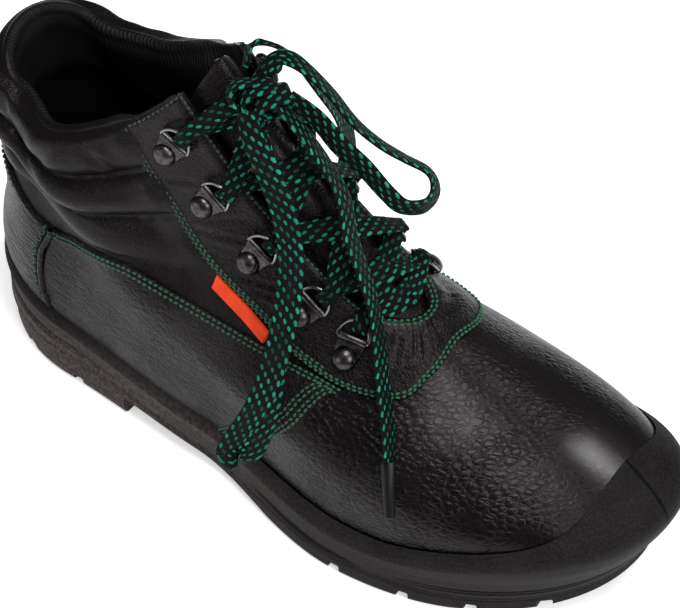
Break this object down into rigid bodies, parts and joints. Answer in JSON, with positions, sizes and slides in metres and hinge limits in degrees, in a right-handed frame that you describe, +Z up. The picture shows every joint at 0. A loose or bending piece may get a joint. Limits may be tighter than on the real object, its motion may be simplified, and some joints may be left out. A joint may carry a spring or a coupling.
{
  "type": "safety shoe",
  "caption": "High-top leather safety shoe for the right foot with padded collar, D-ring lacing, tied bow, toe bumper and lugged sole, standing empty",
  "frame": {"origin": "middle of the shoe's box, without the bow's cords, on the plane that the sole stands on", "axes": "X from heel to toe, Y from the outer side to the inner side of the foot, Z up"},
  "size_m": [0.299, 0.1201, 0.1754],
  "materials": {
    "leather": "black grained leather, satin",
    "lining": "black padded lining, matte",
    "sole_rubber": "black moulded sole, matte",
    "ring_steel": "dark gunmetal plated steel",
    "lace": "flat braid, black with green flecks",
    "lace_tip": "dark plastic tip",
    "red_tab": "plain orange-red woven tab"
  },
  "bodies": {
    "root": {"upper": "leather", "eyestay": "leather", "quarter_outer": "leather", "quarter_inner": "leather", "heel_counter": "leather", "midsole": "sole_rubber", "outsole": "sole_rubber", "tongue": "lining", "insole": "lining", "side_tab": "red_tab", "tongue_label": "red_tab", "clip_outer_1": "ring_steel", "clip_outer_2": "ring_steel", "clip_outer_3": "ring_steel", "clip_outer_4": "ring_steel", "clip_outer_5": "ring_steel", "clip_inner_1": "ring_steel", "clip_inner_2": "ring_steel", "clip_inner_3": "ring_steel", "clip_inner_4": "ring_steel", "clip_inner_5": "ring_steel", "ring_outer_1": "ring_steel", "ring_outer_2": "ring_steel", "ring_outer_3": "ring_steel", "ring_outer_4": "ring_steel", "ring_outer_5": "ring_steel", "ring_inner_1": "ring_steel", "ring_inner_2": "ring_steel", "ring_inner_3": "ring_steel", "ring_inner_4": "ring_steel", "ring_inner_5": "ring_steel", "lace_bars": "lace", "lace_knot": "lace", "lace_loop_near": "lace", "lace_loop_far": "lace", "lace_end_near": "lace", "lace_end_far": "lace", "aglet_near": "lace_tip", "aglet_far": "lace_tip"}
  },
  "joints": []
}
